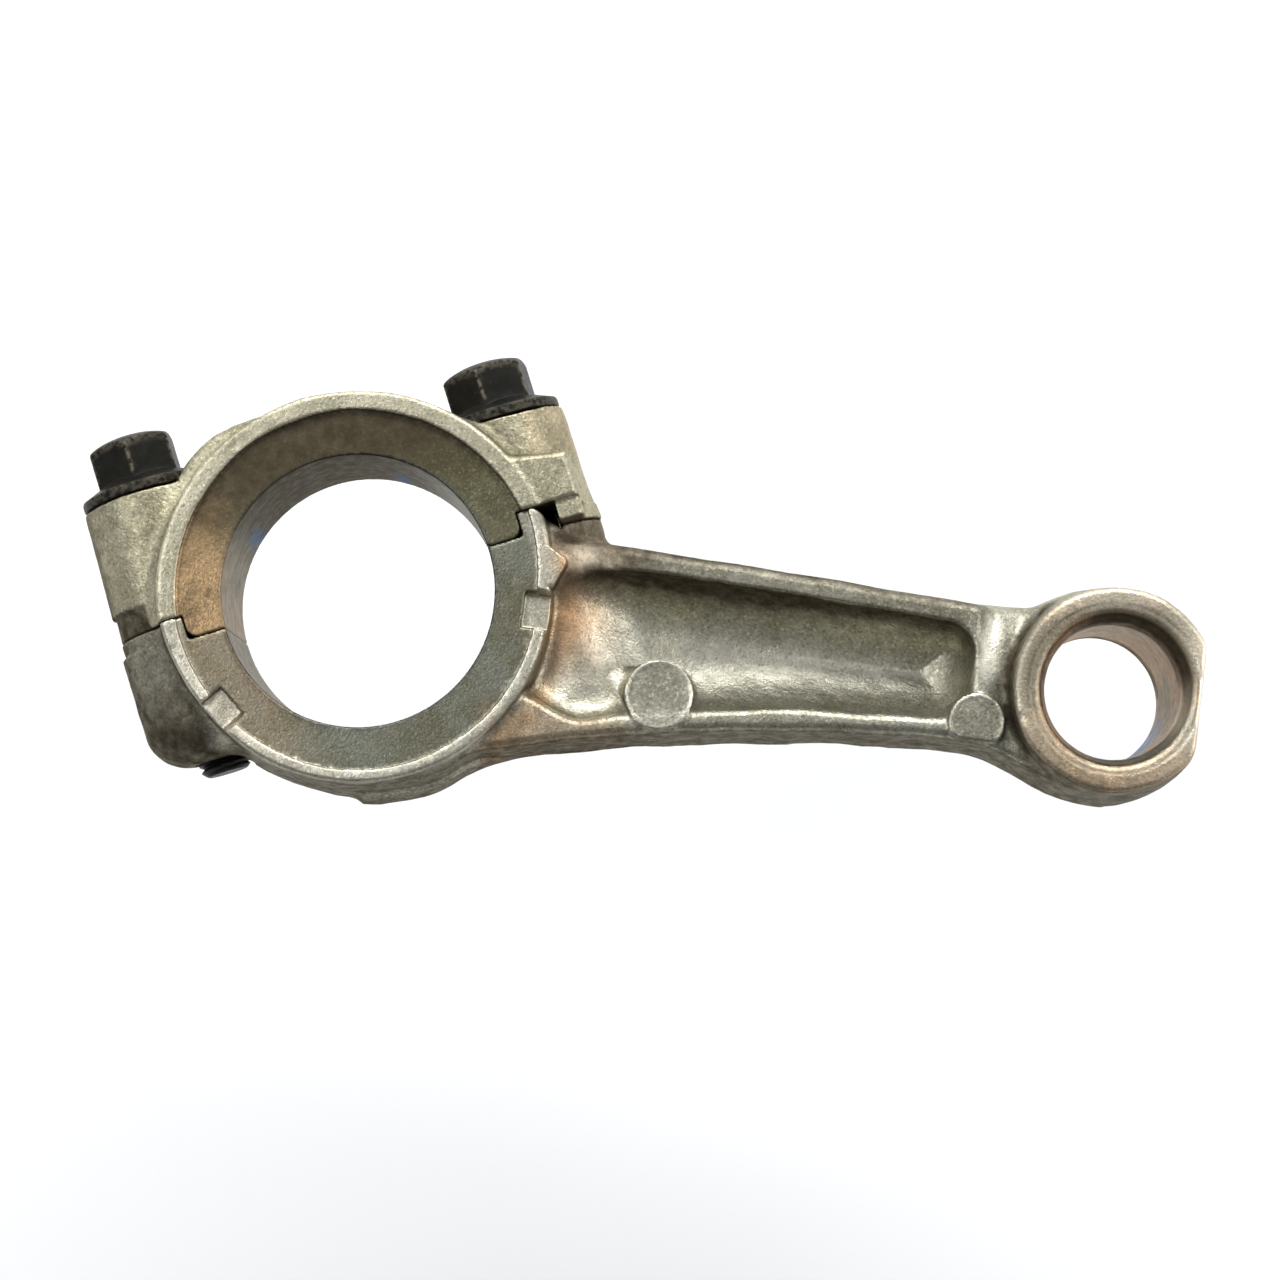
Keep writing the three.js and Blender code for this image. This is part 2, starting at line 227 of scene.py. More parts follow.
def i_beam(x, y, a, side):
    """The beam less its pockets; its face dips at the bolt boss and at the small end."""
    shoulder_dip = 2.0 * smooth(30.5, 22.5, x) * smooth(-1.0, 5.0, y)
    neck_dip = 0.9 * smooth(73.0, 77.5, x)
    neck_dip = neck_dip + 0.028 * np.clip(y + 1, 0, None)**2 * smooth(71.6, 74.0, x) * smooth(81, 77, x)
    beam = meet(side, a - BEAM_HALF + shoulder_dip + neck_dip, BEAM_EDGE)
    opening = np.maximum(y - pocket_top(x), pocket_bottom(x) - y)
    opening = meet(opening, x - POCKET_END, POCKET_CORNER)
    pocket = meet(opening + POCKET_DRAFT * (BEAM_HALF - a), FLOOR - a, POCKET_FILLET)
    return cut(beam, pocket, 0.45 + 0.6 * smooth(3, -3, y))


def ejector_pad(outline, a, from_centre, radius, half):
    """A flat pad left by an ejector pin, with a burr round its rim."""
    burr = PAD_BURR * smooth(radius - 0.5, radius - 0.2, from_centre)
    return meet(outline, a - half - burr, PAD_EDGE)


def rod_bosses(u, s, z):
    """The rod's left and right bolt bosses."""
    left = bolt_radius(u, z, -1) - BOSS_SPLIT + 0.45 * smooth(1.2, 1.6, s)
    left = meet(left, -13.2 - s, 5.0)
    right = bolt_radius(u, z, 1) - 6.3 - 1.9 * smooth(-18, TONGUE, s)
    right = meet(meet(right, -22 - s, 4.5), s - TONGUE, 0.3)
    return left, right


def rod_ring(x, y, r, a, right_swell, left_swell):
    """The rod's half of the crank end's ring, with a lobe beside the split."""
    ring = r - ROD_RIM - 0.12 * right_swell - 0.08 * left_swell - BIG_DRAFT * (1 - a / BIG_HALF)
    ring = meet(ring, a - BIG_HALF, 0.55)
    lobe = meet(polygon(x, y, RIM_LOBE), a - BIG_HALF, 0.4)
    return np.minimum(ring, lobe)


def small_end(x, wrist, a):
    """The small end's ring, with a turned step in its face and a flat on its far side."""
    turned = TURNED_STEP * smooth(TURNED_LINE, TURNED_LINE - 0.2, wrist)
    small = wrist - SMALL_RIM - SMALL_DRAFT * (1 - a / SMALL_HALF)
    small = meet(small, a - SMALL_HALF + turned, 0.7)
    return meet(small, x - CENTRE_DISTANCE - SMALL_FLAT, 0.7)


def wrist_cuts(solid, wrist, a):
    """Cuts the wrist-pin bore and its lead-ins."""
    slope = LEAD_IN / LEAD_IN_DEPTH
    flare = (wrist - SMALL_BORE - LEAD_IN - slope * (a - SMALL_HALF)) / math.hypot(1, slope)
    solid = cut(solid, flare, 0.8)
    return cut(solid, wrist - SMALL_BORE, 0.2)


def split_cuts(solid, u, s, z):
    """Cuts the split, the gap beside the rod's tongue and the two bolt holes."""
    solid = cut(solid, cap_region(u, s, 0.4) - GAP / 2, 0.12)
    gap_floor = (3.1 - 1.1 * (u - 22.3) - s) * 0.67
    tongue_gap = np.maximum(np.maximum(22.3 - u, u - TONGUE_END - 0.1), gap_floor)
    tongue_gap = np.maximum(tongue_gap, 2.0 - np.abs(z))
    solid = cut(solid, tongue_gap, 0.3)
    solid = np.maximum(solid, HOLE - bolt_radius(u, z, -1))
    return np.maximum(solid, -np.maximum(bolt_radius(u, z, 1) - HOLE, RIGHT_HOLE_END - s))


def rod_distance(x, y, z):
    """The rod body: beam, pads, bosses and both ends, less its bores, notches and split."""
    a = np.abs(z)
    u, s = split_frame(x, y)
    r = np.hypot(x, y)
    wrist = np.hypot(x - CENTRE_DISTANCE, y)
    right_swell = np.where(u > 0, np.clip(s + 5.5, 0, None), 0)
    left_swell = np.where(u < 0, np.clip(s + 8, 0, None), 0)

    side = beam_side(x, y, a)
    from_pad = np.hypot(x - PAD_X, y - PAD_Y)
    pad = ejector_pad(from_pad - PAD_RADIUS, a, from_pad, PAD_RADIUS, PAD_HALF)
    body = join(i_beam(x, y, a, side), pad, 0.7)
    from_pad = np.hypot(x - SMALL_PAD_X, y - SMALL_PAD_Y)
    outline = meet(from_pad - SMALL_PAD_RADIUS, SMALL_PAD_FLAT - y, 0.5)
    body = join(body, ejector_pad(outline, a, from_pad, SMALL_PAD_RADIUS, SMALL_PAD_HALF), 0.4)

    left_boss, right_boss = rod_bosses(u, s, z)
    body = join(body, right_boss, 0.9 + 2.6 * smooth(9, 5, y))
    ring = rod_ring(x, y, r, a, right_swell, left_swell)
    web = np.maximum(side, a - FLOOR)
    body = np.minimum(join(body, ring, 0.7), join(web, ring, 3.2))
    body = np.minimum(body, join(left_boss, ring, 1.6))
    body = join(body, small_end(x, wrist, a), 1.0)

    body = crank_cuts(body, r, a, THRUST_RADIUS + 0.11 * right_swell + 0.04 * left_swell)
    body = wrist_cuts(body, wrist, a)
    body = cut(body, oil_notches(x, y, a), 0.12)
    return split_cuts(body, u, s, z)


def oil_notch(x, y, a, angle):
    """A shallow notch through the rim, at an angle round the crankpin bore."""
    c, s = math.cos(angle), math.sin(angle)
    along, across = x * c + y * s, y * c - x * s
    ends = np.maximum(19.3 - along, along - 25)
    sides = np.maximum(across - 2.1 - 0.5 * (a - NOTCH_FLOOR), -1.7 - across)
    return np.maximum(ends, np.maximum(sides, NOTCH_FLOOR - a))


def oil_notches(x, y, a):
    """Distance to the nearer oil notch."""
    return np.minimum(*(oil_notch(x, y, a, angle) for angle in NOTCH_ANGLES))


# ------------------------------------------------------------------ bearing cap
PAD_OUTLINE = [(18, 3.0), (27.9, 3.0), (27.9, 8.5), (20.6, 9.95), (18, 10.5)]
FOOT_OUTLINE = [(24.0, 0.5), (27.4, 0.5), (27.9, 1.2), (27.9, 3.4), (24.0, 3.4)]
WEB_OUTLINE = [
    (0, 8), (0, 23), (-6.4, 23.75), (-8.6, 23.75), (-11, 23.3), (-12.3, 22.8), (-13.6, 22.1),
    (-14.8, 21.3), (-16, 20.4), (-18.5, 17.5), (-21, 12), (-21, 8)]


def cap_distance(x, y, z):
    """The bearing cap: ring, bolt bosses, web, pad and foot, less its bores and its side of the split."""
    a = np.abs(z)
    u, s = split_frame(x, y)
    r = np.hypot(x, y)

    ring = meet(r - CAP_RIM - BIG_DRAFT * (1 - a / BIG_HALF), a - BIG_HALF, 0.4)
    taper = (BOSS_SPLIT - BOSS_SEAT) * np.clip(s / SEAT_LEFT, 0, 1)
    collar_edge = meet(s - 6.3, u + 24.6 + 0.25 * (s - 3.3), 2.2)
    left = bolt_radius(u, z, -1) - BOSS_SPLIT + taper + 0.45 * smooth(0.12, -0.12, collar_edge)
    left = meet(left, s - SEAT_LEFT - 0.2, 0.2)
    taper = (BOSS_SPLIT - BOSS_SEAT) * np.clip(s / SEAT_RIGHT, 0, 1)
    right = bolt_radius(u, z, 1) - BOSS_SPLIT + taper
    right = meet(right - 0.15 * smooth(3.0, 2.7, s), s - SEAT_RIGHT - 0.2, 0.2)
    web = meet(polygon(u, s, WEB_OUTLINE), a - 6.5, 1.0)
    pad_sides = polygon(u, s, PAD_OUTLINE) - 0.6 * (1 - a / BIG_HALF)
    pad = meet(pad_sides, a - 11.4, 0.8)

    body = join(left, ring, 1.8)
    body = join(body, web, 1.2)
    body = join(body, join(right, ring, 2.0), 0.2)
    body = join(body, pad, 0.5)
    foot = meet(polygon(u, s, FOOT_OUTLINE), a - 10.9, 0.8)
    body = join(body, foot, 0.2)

    body = crank_cuts(body, r, a, THRUST_RADIUS + 0.25)
    for sign, seat in ((-1, SEAT_LEFT), (1, SEAT_RIGHT)):
        bolt = bolt_radius(u, z, sign)
        body = cut(body, np.maximum(bolt - 7.9, seat + 0.05 - s), 0.1)
        body = np.maximum(body, -(bolt - HOLE))
    return np.maximum(meet(body, cap_region(u, s, 1.4) + GAP / 2, 0.1), -s - 1)


# ------------------------------------------------------------------ polygonising
def sample(distance, low, high, step):
    """The distance on a grid of points, worked out slab by slab to save memory."""
    axes = [np.arange(lo, hi + step, step, dtype=np.float32) for lo, hi in zip(low, high)]
    field = np.empty([len(axis) for axis in axes], np.float32)
    slab = 12
    for start in range(0, len(axes[0]), slab):
        x = axes[0][start:start + slab, None, None]
        field[start:start + slab] = distance(x, axes[1][None, :, None], axes[2][None, None, :])
    return field


def surface_net(field):
    """Vertices in cells, and quads, of a sampled field's zero surface."""
    inside = field < 0
    shape = np.array(field.shape)
    cells, points, quads, sizes = [], [], [], 0
    for axis in range(3):
        one, two = (axis + 1) % 3, (axis + 2) % 3
        lower = [slice(None)] * 3
        upper = [slice(None)] * 3
        lower[axis], upper[axis] = slice(None, -1), slice(1, None)
        at = np.argwhere(inside[tuple(lower)] != inside[tuple(upper)])
        far = at.copy()
        far[:, axis] += 1
        f0, f1 = field[tuple(at.T)], field[tuple(far.T)]
        crossing = at.astype(float)
        crossing[:, axis] += f0 / (f0 - f1)
        corners = []
        for d1, d2 in ((-1, -1), (0, -1), (0, 0), (-1, 0)):
            cell = at.copy()
            cell[:, one] += d1
            cell[:, two] += d2
            corners.append(np.ravel_multi_index(cell.T, shape))
            cells.append(corners[-1])
            points.append(crossing)
        quad = np.stack(corners, 1)
        quad[f0 > f1] = quad[f0 > f1][:, ::-1]
        quads.append(quad)
    cells, points, quads = np.concatenate(cells), np.concatenate(points), np.concatenate(quads)
    unique, index = np.unique(cells, return_inverse=True)
    count = np.bincount(index)
    vertices = np.stack([np.bincount(index, points[:, k]) / count for k in range(3)], 1)
    return vertices, np.searchsorted(unique, quads)


def gradient(distance, points, step=0.04):
    """The distance's slope at points, from four samples round each."""
    total = 0
    for corner in ((1, -1, -1), (-1, -1, 1), (-1, 1, -1), (1, 1, 1)):
        e = np.array(corner, float)
        moved = points + e * step
        total = total + e * distance(*moved.T)[:, None]
    return total / (4 * step)


def settle(distance, points, rounds):
    """Moves points onto the zero surface."""
    for _ in range(rounds):
        slope = gradient(distance, points)
        value = distance(*points.T)
        move = slope * (value / np.maximum((slope**2).sum(1), 0.2))[:, None]
        size = np.linalg.norm(move, axis=1, keepdims=True)
        points = points - move * np.minimum(1, 0.3 * VOXEL / np.maximum(size, 1e-9))
    return points


def to_frame(points):
    """Metres in the shared frame, from millimetres in the rod frame."""
    return points * MM + crank_centre


def area_normals(mesh, points):
    """Vertex normals weighted by the areas of the triangles round them, so flats stay flat."""
    mesh.calc_loop_triangles()
    triangles = np.empty(len(mesh.loop_triangles) * 3, np.int64)
    mesh.loop_triangles.foreach_get("vertices", triangles)
    triangles = triangles.reshape(-1, 3)
    a, b, c = (points[triangles[:, k]] for k in range(3))
    across = np.cross(b - a, c - a)
    normals = np.stack([
        sum(np.bincount(triangles[:, k], across[:, axis], len(points)) for k in range(3))
        for axis in range(3)], 1)
    return normals / np.maximum(np.linalg.norm(normals, axis=1, keepdims=True), 1e-12)


def dimpled(distance):
    """The distance with slight dimples, so that thinning leaves some triangles on the flats."""
    return lambda x, y, z: distance(x, y, z) - DIMPLE * wave_short(x, y, z)


def cast_mesh(name, distance, surface, low, high):
    """A closed mesh of a distance field, thinned, settled on the field and named."""
    field = sample(distance, low, high, VOXEL)
    cells, quads = surface_net(field)
    points = settle(dimpled(distance), cells * VOXEL + np.array(low), 3)
    mesh = bpy.data.meshes.new(name)
    mesh.from_pydata(points.tolist(), [], quads.tolist())
    obj = bpy.data.objects.new(name, mesh)
    bpy.context.scene.collection.objects.link(obj)
    thin = obj.modifiers.new("thin", "DECIMATE")
    thin.ratio = min(1.0, MAX_TRIANGLES / (2 * len(quads)))
    thinned = bpy.data.meshes.new_from_object(obj.evaluated_get(bpy.context.evaluated_depsgraph_get()))
    obj.modifiers.clear()
    obj.data = thinned
    points = np.empty(len(thinned.vertices) * 3)
    thinned.vertices.foreach_get("co", points)
    points = settle(surface, points.reshape(-1, 3), 2)
    thinned.vertices.foreach_set("co", to_frame(points).ravel())
    thinned.name = name
    normals = area_normals(thinned, points)
    thinned.shade_smooth()
    thinned.update()
    thinned.normals_split_custom_set_from_vertices(normals)
    return obj, points, normals


def paint(obj, name, values):
    """Stores values from 0 to 1 as an attribute of the mesh's points."""
    layer = obj.data.attributes.new(name, "FLOAT", "POINT")
    layer.data.foreach_set("value", np.clip(values, 0, 1).astype(np.float32))


def hollowness(distance, points, normals, reach):
    """0 on open faces, rising to 1 where the surface is shut in."""
    return 1 - np.clip(distance(*(points + normals * reach).T) / reach, 0, 1)


def sharpness(distance, points, normals, reach):
    """0 on flat and hollow faces, rising to 1 on outer edges."""
    return 1 - np.clip(-distance(*(points - normals * reach).T) / reach, 0, 1)


# ------------------------------------------------------------------ bolts
SHANK, LENGTH, PITCH = 3.175, 34.4, 25.4 / 28
THREAD_DEPTH, THREAD_TOP = 0.49, -15.5
FLANGE, FLANGE_EDGE, FLANGE_TOP = 7.48, 1.2, 2.3
HEX_APOTHEM, HEAD_HEIGHT, DOME_RISE, DOME_RADIUS = 4.7625, 7.7, 2.0, 5.75
CORNER_SHARPNESS = 70
FOOT_FILLET, TOP_ROUND = 0.3, 0.28


def hex_radius(angle):
    """Distance from the axis to a hexagon with softened corners, one of them at angle 0."""
    total = sum(
        np.maximum(np.cos(angle - math.radians(30 + 60 * k)), 0) ** CORNER_SHARPNESS for k in range(6))
    return HEX_APOTHEM * total ** (-1 / CORNER_SHARPNESS)


def dome_height(radius):
    """Height of the head's domed top at a distance from the axis."""
    return HEAD_HEIGHT - DOME_RISE * (1 - np.sqrt(1 - (radius / DOME_RADIUS) ** 2))


def thread_rows(angle):
    """Rings of (radius, height) along the thread, from the bolt's tip up."""
    rows = []
    steps = 12
    for i in range(int((THREAD_TOP + LENGTH - 0.2) / PITCH * steps)):
        height = -LENGTH + 0.2 + i * PITCH / steps
        phase = (height / PITCH - angle / (2 * math.pi)) % 1
        groove = THREAD_DEPTH * np.clip(1.25 * (1 - np.abs(2 * phase - 1)) - 0.12, 0, 1)
        fade = float(smooth(THREAD_TOP, THREAD_TOP - 1.6, height))
        tip = min(SHANK, SHANK - 0.75 + (height + LENGTH))
        rows.append((np.minimum(SHANK - 0.02 - groove * fade, tip), height * np.ones_like(angle)))
    return rows


def head_rows(angle):
    """Rings of (radius, height) from the flange's edge to the top of the head."""
    side = hex_radius(angle)
    outer = FLANGE - 0.3
    slope = (FLANGE_TOP - FLANGE_EDGE) / (outer - HEX_APOTHEM)
    rows = []
    for t in np.linspace(0.15, 1, 8):
        radius = outer + (side + FOOT_FILLET - outer) * t
        rows.append((radius, FLANGE_EDGE + slope * (outer - radius)))
    foot = FLANGE_EDGE + slope * (outer - side - FOOT_FILLET)
    for q in (0.5, 0.9, 1.25, math.pi / 2):
        rows.append((side + FOOT_FILLET * (1 - math.sin(q)), foot + FOOT_FILLET * (1 - math.cos(q))))
    wall_foot = foot + FOOT_FILLET
    shoulder = dome_height(side) - TOP_ROUND
    rows += [(side, wall_foot + (shoulder - wall_foot) * t) for t in (0.2, 0.4, 0.6, 0.8, 1.0)]
    for q in np.linspace(0.15, 1, 6):
        inner = side - 0.3 * q * q
        rise = math.sin(q * math.pi / 2) ** 0.8
        rows.append((inner, shoulder + (dome_height(inner) - shoulder) * rise))
    for t in (0.93, 0.84, 0.72, 0.58, 0.42, 0.26, 0.12):
        rows.append(((side - 0.3) * t, dome_height((side - 0.3) * t)))
    return rows


def bolt_rows(angle):
    """Rings of (radius, height) round the bolt's axis, from its tip to the top of its head."""
    neck = SHANK - 0.08
    tip = [(1.2, -LENGTH), (2.2, -LENGTH), (SHANK - 0.85, -LENGTH), (SHANK - 0.7, -LENGTH + 0.08)]
    shank_and_flange = [
        (neck, THREAD_TOP + 0.3), (neck, -8), (neck, -0.45), (neck + 0.1, -0.15), (neck + 0.4, 0.0),
        (5.2, 0.0), (FLANGE - 0.3, 0.0), (FLANGE - 0.08, 0.08), (FLANGE, 0.28),
        (FLANGE, FLANGE_EDGE - 0.3), (FLANGE - 0.08, FLANGE_EDGE - 0.08), (FLANGE - 0.3, FLANGE_EDGE)]
    tip, shank_and_flange = (
        [(radius * np.ones_like(angle), height * np.ones_like(angle)) for radius, height in part]
        for part in (tip, shank_and_flange))
    return tip + thread_rows(angle) + shank_and_flange + head_rows(angle)


def bolt_wear(local, radius, height):
    """Where a bolt is scuffed: the hexagon's corners, the rim of its top and the flange's edge."""
    corner = np.abs((np.degrees(local) + 30) % 60 - 30)
    on_wall = (height > 2.4) & (height < dome_height(np.minimum(radius, 5.5)) - 0.05)
    from_rim = height - dome_height(np.minimum(hex_radius(local), 5.6)) + 0.1
    rim = blob(from_rim, 0.35) * (radius > 4)
    lip = blob(radius - FLANGE + 0.1, 0.2) * (height >= 0)
    return np.maximum(np.maximum(blob(corner, 2.2) * on_wall, 0.6 * rim), 0.5 * lip)


def bolt_piece(name, side, seat, hex_turn):
    """A flange bolt with its seating face at a height of the split frame."""
    sector = 30 * np.sin(np.linspace(-1, 1, 25)[:-1] * math.pi / 2)
    local = np.radians(np.concatenate([sector + 30 + 60 * k for k in range(6)]))
    rows = bolt_rows(local)
    columns = len(local)
    radius, height = (np.stack([row[k] for row in rows]) for k in (0, 1))
    angle = local + hex_turn
    wall = from_split_frame(
        side * BOLT_U + radius * np.sin(angle), seat + height, radius * np.cos(angle)).reshape(-1, 3)
    ends = from_split_frame(
        np.full(2, side * BOLT_U), seat + np.array([-LENGTH, HEAD_HEIGHT]), np.zeros(2))
    points = np.vstack([wall, ends])
    ring = np.arange(columns)
    after = (ring + 1) % columns
    faces = []
    for row in range(len(rows) - 1):
        base = row * columns
        quads = [base + ring, base + after, base + columns + after, base + columns + ring]
        faces += np.stack(quads, 1).tolist()
    bottom, top, last = len(points) - 2, len(points) - 1, (len(rows) - 1) * columns
    faces += [[bottom, b, a] for a, b in zip(ring.tolist(), after.tolist())]
    faces += [[top, last + a, last + b] for a, b in zip(ring.tolist(), after.tolist())]
    mesh = bpy.data.meshes.new(name)
    mesh.from_pydata(to_frame(points).tolist(), [], faces)
    mesh.shade_smooth()
    mesh.set_sharp_from_angle(angle=math.radians(38))
    obj = bpy.data.objects.new(name, mesh)
    bpy.context.scene.collection.objects.link(obj)
    paint(obj, "wear_and_highlight", np.append(bolt_wear(local, radius, height).ravel(), [0, 0]))
    return obj


# ------------------------------------------------------------------ materials
class Nodes:
    """Shorthand for building a node material."""

    def __init__(self, name):
        self.material = bpy.data.materials.new(name)
        self.material.use_nodes = True
        self.tree = self.material.node_tree
        self.shader = self.tree.nodes["Principled BSDF"]
        self.place = self.add("ShaderNodeTexCoord").outputs["Object"]

    def add(self, kind, inputs=None, **settings):
        node = self.tree.nodes.new(kind)
        for key, value in settings.items():
            setattr(node, key, value)
        for key, value in (inputs or {}).items():
            self.link(value, node.inputs[key])
        return node

    def link(self, value, socket):
        if isinstance(value, bpy.types.NodeSocket):
            self.tree.links.new(value, socket)
        else:
            socket.default_value = value

    def attribute(self, name):
        return self.add("ShaderNodeAttribute", attribute_name=name).outputs["Fac"]

    def noise(self, size_mm, detail, roughness):
        return self.add("ShaderNodeTexNoise", {
            "Vector": self.place, "Scale": 1 / (size_mm * MM), "Detail": detail,
            "Roughness": roughness}).outputs["Fac"]

    def ramp(self, value, low, high, out_low=0.0, out_high=1.0):
        return self.add("ShaderNodeMapRange", {
            "Value": value, "From Min": low, "From Max": high, "To Min": out_low, "To Max": out_high},
            interpolation_type="SMOOTHSTEP").outputs["Result"]

    def math(self, operation, a, b):
        return self.add("ShaderNodeMath", {0: a, 1: b}, operation=operation).outputs[0]

    def mix(self, factor, a, b):
        node = self.add("ShaderNodeMix", data_type="RGBA", blend_type="MIX")
        self.link(factor, node.inputs[0])
        self.link(a, node.inputs[6])
        self.link(b, node.inputs[7])
        return node.outputs[2]

    def bump(self, height, strength, distance_mm, normal=None):
        inputs = {"Height": height, "Strength": strength, "Distance": distance_mm * MM}
        if normal is not None:
            inputs["Normal"] = normal
        return self.add("ShaderNodeBump", inputs).outputs["Normal"]


def rgb(red, green, blue):
    return (red, green, blue, 1.0)


MOTTLE, LIGHT_SPECK, DARK_SPECK = rgb(0.16, 0.145, 0.105), rgb(0.86, 0.80, 0.60), rgb(0.08, 0.075, 0.055)
FACE_LIGHT_SPECK, FACE_DARK_SPECK = rgb(0.46, 0.43, 0.30), rgb(0.05, 0.048, 0.035)
# Bore metal, a deep warm tone, and the dark colour for painted shade in hollows and on shaded flanks, with
# grime.
BORE_METAL, DEEP_WARM, SHADE_AND_GRIME = rgb(0.085, 0.088, 0.074), rgb(0.17, 0.12, 0.07), rgb(0.062, 0.048, 0.03)
# Blue for painted reflections in the bores, and a pale metal colour for rubbed edges and painted highlights.
BLUE_REFLECTION, RUB_AND_HIGHLIGHT = rgb(0.02, 0.15, 0.42), rgb(0.93, 0.89, 0.75)


def casting_material(name, cast, cast_shade, machined, machined_stain, warm):
    """Cast aluminium, coloured by the painted attributes over clouds, mottle and speckle; they carry painted
    shade, highlights and reflections as well as wear and grime.
    """
    n = Nodes(name)
    clouds = n.noise(8, 4, 0.62)
    mottle = n.noise(1.5, 5, 0.68)
    speckle = n.noise(0.38, 4, 0.72)
    grain = n.noise(0.3, 3, 0.6)
    skin = n.mix(n.ramp(clouds, 0.36, 0.66), cast, cast_shade)
    skin = n.mix(n.ramp(mottle, 0.42, 0.72, 0.0, 0.45), skin, MOTTLE)
    skin = n.mix(n.ramp(speckle, 0.52, 0.72, 0.0, 0.75), skin, LIGHT_SPECK)
    skin = n.mix(n.ramp(speckle, 0.48, 0.3, 0.0, 0.75), skin, DARK_SPECK)
    face = n.mix(n.ramp(clouds, 0.4, 0.62), machined, machined_stain)
    face = n.mix(n.ramp(mottle, 0.45, 0.75, 0.0, 0.45), face, machined_stain)
    face = n.mix(n.ramp(speckle, 0.5, 0.78, 0.0, 0.5), face, FACE_LIGHT_SPECK)
    face = n.mix(n.ramp(speckle, 0.45, 0.3, 0.0, 0.55), face, FACE_DARK_SPECK)
    colour = n.mix(n.attribute("machined"), skin, face)
    colour = n.mix(n.attribute("bore"), colour, BORE_METAL)
    # Warm orange tones, partly painted reflection: the hump by the pocket and the left of the cap's thrust
    # face reflect warm light.
    tint = n.math("MULTIPLY", n.attribute("warm"), n.ramp(speckle, 0.25, 0.75, 0.35, 1.0))
    colour = n.mix(tint, colour, n.mix(n.ramp(clouds, 0.5, 0.62, 0.0, 0.6), warm, DEEP_WARM))
    # Painted shade, with some grime: darkens hollows, shaded flanks and the shade tints.
    shade_and_grime = n.math("MULTIPLY", n.attribute("shade_and_grime"), n.ramp(mottle, 0.25, 0.7, 0.72, 1.0))
    colour = n.mix(shade_and_grime, colour, SHADE_AND_GRIME)
    # Painted reflection: blue from a blue surround, reflected in the bores.
    blue_reflection = n.math("MULTIPLY", n.attribute("blue_reflection"), n.ramp(mottle, 0.3, 0.55, 0.3, 1.0))
    colour = n.mix(blue_reflection, colour, BLUE_REFLECTION)
    # Rubbed edges and painted highlights: lightens towards pale metal.
    wear_and_highlight = n.math("MULTIPLY", n.attribute("wear_and_highlight"), n.ramp(speckle, 0.3, 0.5, 0.55, 0.95))
    n.link(n.mix(wear_and_highlight, colour, RUB_AND_HIGHLIGHT), n.shader.inputs["Base Color"])
    n.shader.inputs["Metallic"].default_value = 0.9
    n.shader.inputs["Specular Tint"].default_value = rgb(0.72, 0.70, 0.64)
    rough = n.ramp(mottle, 0.25, 0.75, 0.28, 0.46)
    n.link(n.math("ADD", rough, n.math("MULTIPLY", shade_and_grime, 0.3)), n.shader.inputs["Roughness"])
    calm = n.ramp(n.attribute("shade_and_grime"), 0.35, 0.9, 1.0, 0.3)
    normal = n.bump(mottle, n.math("MULTIPLY", calm, 0.5), 0.16)
    normal = n.bump(grain, n.math("MULTIPLY", calm, 0.8), 0.08, normal)
    n.link(normal, n.shader.inputs["Normal"])
    return n.material


def bolt_material():
    """Black oxide, browner in clouds and bare where it is scuffed."""
    n = Nodes("black_oxide")
    clouds = n.noise(3.5, 4, 0.6)
    mottle = n.noise(0.6, 4, 0.6)
    colour = n.mix(n.ramp(clouds, 0.35, 0.7), rgb(0.005, 0.005, 0.004), rgb(0.013, 0.012, 0.008))
    colour = n.mix(n.ramp(mottle, 0.6, 0.75, 0.0, 0.5), colour, rgb(0.05, 0.042, 0.028))
    scuff = n.math("MULTIPLY", n.attribute("wear_and_highlight"), n.ramp(mottle, 0.38, 0.62))
    colour = n.mix(n.math("MULTIPLY", scuff, 0.7), colour, rgb(0.20, 0.17, 0.12))
    n.link(colour, n.shader.inputs["Base Color"])
    n.shader.inputs["Metallic"].default_value = 0.0
    n.shader.inputs["Specular IOR Level"].default_value = 0.12
    n.link(n.ramp(mottle, 0.3, 0.7, 0.36, 0.52), n.shader.inputs["Roughness"])
    n.link(n.bump(mottle, 0.5, 0.07), n.shader.inputs["Normal"])
    return n.material


# ------------------------------------------------------------------ building the pieces
wave_long, wave_short = Waves(3, 9), Waves(5, 2.2, 18)


def rod_masks(x, y, z):
    """How machined a point of the rod is, and whether it is a bore's wall."""
    a, r = np.abs(z), np.hypot(x, y)
    wrist = np.hypot(x - CENTRE_DISTANCE, y)
    bore = smooth(16.4, 16.2, r) + smooth(SMALL_BORE + 0.35, SMALL_BORE + 0.2, wrist)
    thrust = smooth(22.4, 21.9, r) * smooth(0.3, 0.2, np.abs(a - THRUST_HALF))
    turned = smooth(10.3, 10.0, wrist)
    return np.clip(bore + thrust + turned, 0, 1), np.clip(bore, 0, 1)


def cap_masks(x, y, z):
    """The same for the cap."""
    a, r = np.abs(z), np.hypot(x, y)
    bore = smooth(16.4, 16.2, r)
    thrust = smooth(21.4, 21.1, r) * smooth(0.3, 0.2, np.abs(a - THRUST_HALF))
    return np.clip(bore + thrust, 0, 1), bore


# Dents as (x, y, z, size).
NICKS = [
    (25.4, 6.3, 10.0, 0.5), (33.5, 7.3, 10.1, 0.5), (35.8, 8.2, 10.1, 0.6), (-20.2, -9.7, 11.3, 0.45),
    (78.0, -4.6, 13.2, 0.45), (-16.5, 14.9, 11.3, 0.4)]
NICK_DEPTH, FLASH_HEIGHT, FLASH_WIDTH = 0.3, 0.07, 0.3
LONG_WAVE, SHORT_WAVE = 0.05, 0.016


